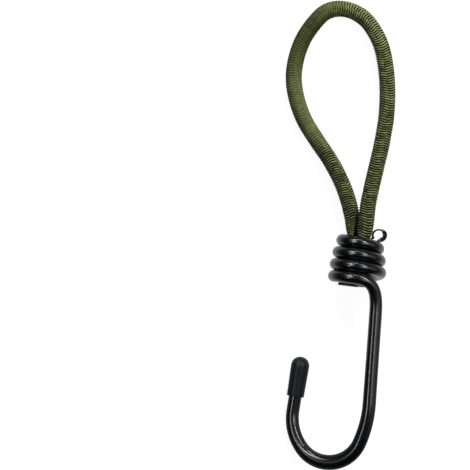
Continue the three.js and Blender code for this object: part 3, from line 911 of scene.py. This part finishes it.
def feed(tree, socket, value):
    """Gives a socket its value: by a link where the value is another socket, or else as it is."""
    if isinstance(value, bpy.types.NodeSocket):
        tree.links.new(value, socket)
    else:
        socket.default_value = value


def maths(tree, operation, first, second):
    """The result of an operation on two values, each a socket or a plain number."""
    made = node(tree, "ShaderNodeMath", operation=operation)
    for socket, value in zip(made.inputs, (first, second)):
        feed(tree, socket, value)
    return made.outputs[0]


# %% Grain
grain, grain_in, grain_out = new_group("grain", {"Size": 0.001, "Softness": 0.5}, ["Height"])
grain_noise = node(
    grain,
    "ShaderNodeTexNoise",
    {
        "Vector": grain_in.outputs["Coordinates"],
        "Scale": maths(grain, "POWER", grain_in.outputs["Size"], -1),
        "Roughness": grain_in.outputs["Softness"],
    },
    Detail=4.0,
)
grain.links.new(grain_noise.outputs["Fac"], grain_out.inputs["Height"])
print("groups:", [g.name for g in bpy.data.node_groups])


# %% Tools for materials
def new_material(name, **values):
    """A material whose Principled shader has the given plain values."""
    material = bpy.data.materials.new(name)
    material.use_nodes = True
    shader = material.node_tree.nodes["Principled BSDF"]
    for label, value in values.items():
        shader.inputs[label.replace("_", " ")].default_value = value
    return material, material.node_tree, shader


def object_place(tree):
    """Where a point lies on its object, in metres."""
    return node(tree, "ShaderNodeTexCoord").outputs["Object"]


def stretched(tree, place, scale):
    """Coordinates multiplied by a scale along each axis."""
    return node(tree, "ShaderNodeMapping", {"Vector": place}, Scale=scale).outputs["Vector"]


def grained(tree, size, softness, place=None):
    """The grain's height at a real size, on the object's own coordinates or on given ones."""
    made = node(tree, "ShaderNodeGroup", node_tree=grain, Size=size, Softness=softness)
    tree.links.new(place or object_place(tree), made.inputs["Coordinates"])
    return made.outputs["Height"]


def bump(tree, shader, height, depth, strength):
    """A bump of a real depth, led into the shader's normal."""
    made = node(tree, "ShaderNodeBump", {"Height": height}, Strength=strength, Distance=depth)
    tree.links.new(made.outputs["Normal"], shader.inputs["Normal"])


# A Mix node has sockets for each type of value. These are its factor, its two colours and its result.
mix_inputs = (0, 6, 7)
mix_output = 2


def mixed(tree, factor, first, second):
    """A colour between two, by a factor that changes over the surface."""
    made = node(tree, "ShaderNodeMix", data_type="RGBA")
    for number, value in zip(mix_inputs, (factor, first, second)):
        feed(tree, made.inputs[number], value)
    return made.outputs[mix_output]


def ranged(tree, value, span, to_span):
    """A value mapped from one span to another, and held inside it."""
    made = node(tree, "ShaderNodeMapRange", {"Value": value})
    for label, number in zip(("From Min", "From Max", "To Min", "To Max"), (*span, *to_span)):
        made.inputs[label].default_value = number
    return made.outputs["Result"]


def report_finish(material):
    """Prints how many shader nodes a finish takes."""
    print(f"{material.name}: {len(material.node_tree.nodes)} nodes")


# %% [markdown]
# ### The olive yarn
#
# The yarn is crimped polyester: matt, with a soft sheen where it turns away. Each float is a little
# lighter or darker than its neighbour, the gaps between the ribs are painted dark as shade, and threads of
# a tenth of a millimetre run along each float. The threads are a bump on the yarn map, and the ribs are in
# the mesh.
# Near both cut ends the yarn is painted near black as shade, with a painted highlight as a pale rim at
# the cut itself.

# %% Olive yarn
grain_span = (0.35, 0.65)
tone_and_light_span = (-1.5, 1)
gap_shade_span = (0.5, 0.85)
thread_share = 0.35
patch_share = 0.5
thread_stretch = (0.12, 1.0, 1.0)
end_shade_length = 1.5 * mm
end_shade_fade = 0.3 * mm
rim_highlight_length = 0.3 * mm
rim_highlight_fade = 0.1 * mm

olive, tree, shader = new_material(
    "olive_yarn",
    Roughness=0.6,
    Specular_IOR_Level=0.12,
    Sheen_Weight=0.05,
    Sheen_Roughness=0.45,
    Sheen_Tint=plain("acae60"),
)
painted_shade_height, tone_and_painted_light_value, cut_value = (
    node(tree, "ShaderNodeAttribute", attribute_name=label).outputs["Fac"] for label in sheath_attributes
)
yarn_place = node(tree, "ShaderNodeUVMap", uv_map="yarn").outputs["UV"]
threads = grained(tree, size=0.11 * mm, softness=0.6, place=stretched(tree, yarn_place, thread_stretch))
patches = grained(tree, size=6 * mm, softness=0.5)

in_patch = ranged(tree, patches, grain_span, (0, patch_share))
tone_and_painted_light_share = ranged(tree, tone_and_painted_light_value, tone_and_light_span, (0, 1))
between_threads = ranged(tree, threads, grain_span, (thread_share, 0))
clear_of_painted_shade = ranged(tree, painted_shade_height, gap_shade_span, (0, 1))
painted_end_shade = ranged(tree, cut_value, (end_shade_length, end_shade_length + end_shade_fade), (1, 0))
painted_rim_highlight = ranged(tree, cut_value, (rim_highlight_length, rim_highlight_length + rim_highlight_fade), (1, 0))

yarn_colour = mixed(tree, in_patch, plain("a3ac72"), plain("7f7f5a"))
# Each float's own tone and the painted light and shade along the cord mix the yarn towards the dark olive.
yarn_colour = mixed(tree, tone_and_painted_light_share, plain("373d18"), yarn_colour)
yarn_colour = mixed(tree, between_threads, yarn_colour, plain("333a18"))
# Painted shade: where the lift is low, in the gaps between the ribs and in the groove between the legs,
# the yarn is near black.
yarn_colour = mixed(tree, clear_of_painted_shade, plain("080a01"), yarn_colour)
# Painted shade: the last millimetre and a half at each cut end is near black.
yarn_colour = mixed(tree, painted_end_shade, yarn_colour, plain("0a0b08"))
# Painted highlight: a pale rim at the cut itself.
yarn_colour = mixed(tree, painted_rim_highlight, yarn_colour, plain("a5a78c"))
tree.links.new(yarn_colour, shader.inputs["Base Color"])
bump(tree, shader, threads, depth=0.05 * mm, strength=0.7)
cord_sheath.data.materials.append(olive)
report_finish(olive)

# %% [markdown]
# ### The rubber
#
# Natural rubber is cream, matt and a little dusty with talc at the cut.

# %% Cream rubber
rubber, tree, shader = new_material(
    "cream_rubber",
    Roughness=0.6,
    Subsurface_Weight=0.15,
    Subsurface_Scale=0.4 * mm,
)
dust = grained(tree, size=0.4 * mm, softness=0.6)
rubber_colour = mixed(tree, ranged(tree, dust, grain_span, (0, 1)), plain("cfc6ab"), plain("ebe6d6"))
tree.links.new(rubber_colour, shader.inputs["Base Color"])
bump(tree, shader, dust, depth=0.03 * mm, strength=0.6)
for strand in strands:
    strand.data.materials.append(rubber)
report_finish(rubber)

# %% [markdown]
# ### The dipped black coat
#
# Dipped vinyl is deep black and glossy. It flows out almost, but not quite, flat, so its reflections
# waver slightly. The gloss itself needs no tricks: a low roughness and the lamps do it.

# %% Black coat
black, tree, shader = new_material(
    "black_vinyl",
    Base_Color=plain("0a0b0d"),
    Roughness=0.22,
    Specular_IOR_Level=1.0,
)
flow = grained(tree, size=3.2 * mm, softness=0.3)
bump(tree, shader, flow, depth=0.01 * mm, strength=0.5)
for piece in (coat, curl):
    piece.data.materials.append(black)
report_finish(black)

# %% [markdown]
# ### The soft cap, the steel and the clip
#
# The cap is matt moulded vinyl, charcoal rather than black, with a fine grain from its mould. The wire's
# cut face is bright drawn steel with shear marks. The clip inside the coil is rolled zinc-plated strip.

# %% Charcoal cap
wide_grain_span = (0.3, 0.7)
cap_roughness_span = (0.36, 0.5)

charcoal, tree, shader = new_material("charcoal_vinyl", Base_Color=plain("0d1317"), Specular_IOR_Level=0.4)
fine = grained(tree, size=0.25 * mm, softness=0.7)
tree.links.new(ranged(tree, fine, wide_grain_span, cap_roughness_span), shader.inputs["Roughness"])
bump(tree, shader, fine, depth=0.02 * mm, strength=0.7)
cap.data.materials.append(charcoal)
report_finish(charcoal)

# %% Steel and zinc
shear_stretch = (1.0, 6.0, 1.0)
zinc_roughness_span = (0.45, 0.65)

drawn, tree, shader = new_material("drawn_steel", Metallic=1.0, Roughness=0.3)
shear = stretched(tree, object_place(tree), shear_stretch)
lines = grained(tree, size=0.5 * mm, softness=0.6, place=shear)
tree.links.new(mixed(tree, lines, plain("6f7275"), plain("b4b7ba")), shader.inputs["Base Color"])
bump(tree, shader, lines, depth=0.03 * mm, strength=0.5)
steel.data.materials.append(drawn)

zinc, tree, shader = new_material("zinc_strip", Metallic=1.0)
spangle = grained(tree, size=0.9 * mm, softness=0.4)
# The zinc's colours are darker than bright zinc: painted shade, where the clip sits inside the coil.
tree.links.new(mixed(tree, spangle, plain("5a5f64"), plain("7c8186")), shader.inputs["Base Color"])
tree.links.new(ranged(tree, spangle, wide_grain_span, zinc_roughness_span), shader.inputs["Roughness"])
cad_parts["end_clip"].data.materials.clear()
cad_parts["end_clip"].data.materials.append(zinc)
print("materials:", [m.name for m in bpy.data.materials])

# %% [markdown]
# ## Table and light
#
# The photograph has a table so bright that almost no shadow is left. The floor is a plain grey that
# glows for the rays that look at it, so it reaches white while the lamps stay at a plain level, and a
# shadow still takes away the lit part. To the gloss it glows only in a pool under the coil, which lights
# the turns from below, and further off it fades to dark.
#
# The lamps hang in a ceiling: to the right a narrow bar, a low strip, a panel and a faint wide wall, to
# the left a bar and a low strip that only the gloss sees, beyond the loop a slanted strip, and further
# off a key lamp that the gloss doesn't see. The rest of the room is dark to a glossy surface.

# %% Floor
floor_half = 6.0
floor_drop = 0.05 * mm
floor_grey = (0.2, 0.2, 0.2, 1)
floor_glow = 0.93
pool_middle = (7 * mm, 32 * mm, 0)
pool_span = (24 * mm, 70 * mm)
pool_share = 0.7
white = (1, 1, 1, 1)

floor_mesh = bpy.data.meshes.new("table")
floor_square = ((-1, -1), (1, -1), (1, 1), (-1, 1))
floor_corners = [(x * floor_half, y * floor_half, -floor_drop) for x, y in floor_square]
floor_mesh.from_pydata(floor_corners, [], [(0, 1, 2, 3)])
floor = bpy.data.objects.new("table", floor_mesh)
bpy.context.scene.collection.objects.link(floor)

table_white, tree, shader = new_material(
    "table_white",
    Base_Color=floor_grey,
    Roughness=0.9,
    Specular_IOR_Level=0,
    Emission_Color=white,
)
rays = node(tree, "ShaderNodeLightPath").outputs
seen = maths(tree, "MAXIMUM", rays["Is Camera Ray"], rays["Is Transmission Ray"])
spread = node(tree, "ShaderNodeVectorMath", {0: object_place(tree)}, operation="DISTANCE")
spread.inputs[1].default_value = pool_middle
pool = ranged(tree, spread.outputs["Value"], pool_span, (pool_share, 0))
mirrored = maths(tree, "MULTIPLY", rays["Is Glossy Ray"], pool)
glow = maths(tree, "MULTIPLY", maths(tree, "MAXIMUM", seen, mirrored), floor_glow)
tree.links.new(glow, shader.inputs["Emission Strength"])
floor_mesh.materials.append(table_white)
report_finish(table_white)

# %% World
soft_light = (0.13, 0.13, 0.132, 1)
dark_room = (0.008, 0.009, 0.011, 1)

world = bpy.data.worlds.new("studio")
bpy.context.scene.world = world
world.use_nodes = True
tree = world.node_tree
rays = node(tree, "ShaderNodeLightPath").outputs
room = mixed(tree, rays["Is Glossy Ray"], soft_light, dark_room)
room = mixed(tree, rays["Is Camera Ray"], room, white)
tree.links.new(room, tree.nodes["Background"].inputs["Color"])
tree.nodes["Background"].inputs["Strength"].default_value = 1
print("room:", len(tree.nodes), "nodes")


# %% Lamps
lamp_height = 1.0
lamp_aim = (5 * mm, 20 * mm)


def ceiling_lamp(name, slope_x, slope_y, size, turn_deg, radiance, in_gloss=True, in_matt=True):
    """A flat lamp in a ceiling over the table, facing down. Its two slopes are its distances to the right
    and away, each over its height. Its power is its radiance times its area times pi."""
    data = bpy.data.lights.new(name, "AREA")
    data.shape = "RECTANGLE"
    data.size, data.size_y = (side * lamp_height for side in size)
    data.energy = radiance * data.size * data.size_y * math.pi
    lamp = bpy.data.objects.new(name, data)
    lamp.location = (
        slope_x * lamp_height + lamp_aim[0],
        slope_y * lamp_height + lamp_aim[1],
        lamp_height,
    )
    lamp.rotation_euler = (0, 0, turn_deg * degree)
    lamp.visible_glossy = in_gloss
    lamp.visible_diffuse = in_matt
    bpy.context.scene.collection.objects.link(lamp)
    print(f"{name}: {data.energy:.2f} W")


# Name, slope to the right, slope away, width and length over the height, turn in degrees, radiance.
ceiling_lamp("right_bar", 0.56, 0.66, (0.13, 0.90), 16, 16.5)
ceiling_lamp("right_low", 0.42, -0.02, (0.44, 0.16), 0, 4.6)
ceiling_lamp("right_panel", 1.04, 0.05, (0.80, 0.44), 0, 1.0)
ceiling_lamp("right_wall", 3.50, 0.00, (4.10, 2.40), 0, 0.36)
ceiling_lamp("left_bar", -0.52, 0.60, (0.12, 0.75), 18, 15.5, in_matt=False)
ceiling_lamp("left_low", -0.74, -0.04, (0.12, 0.28), 0, 12.0, in_matt=False)
ceiling_lamp("far_strip", -0.34, 1.40, (1.65, 0.14), 38, 14.0)
ceiling_lamp("far_key", 0.80, 2.40, (1.60, 1.20), 0, 30.0, in_gloss=False)

# %% [markdown]
# ## Colour
#
# The Standard view transform shows a colour as it is written.

# %% Finish
bpy.context.scene.view_settings.view_transform = "Standard"
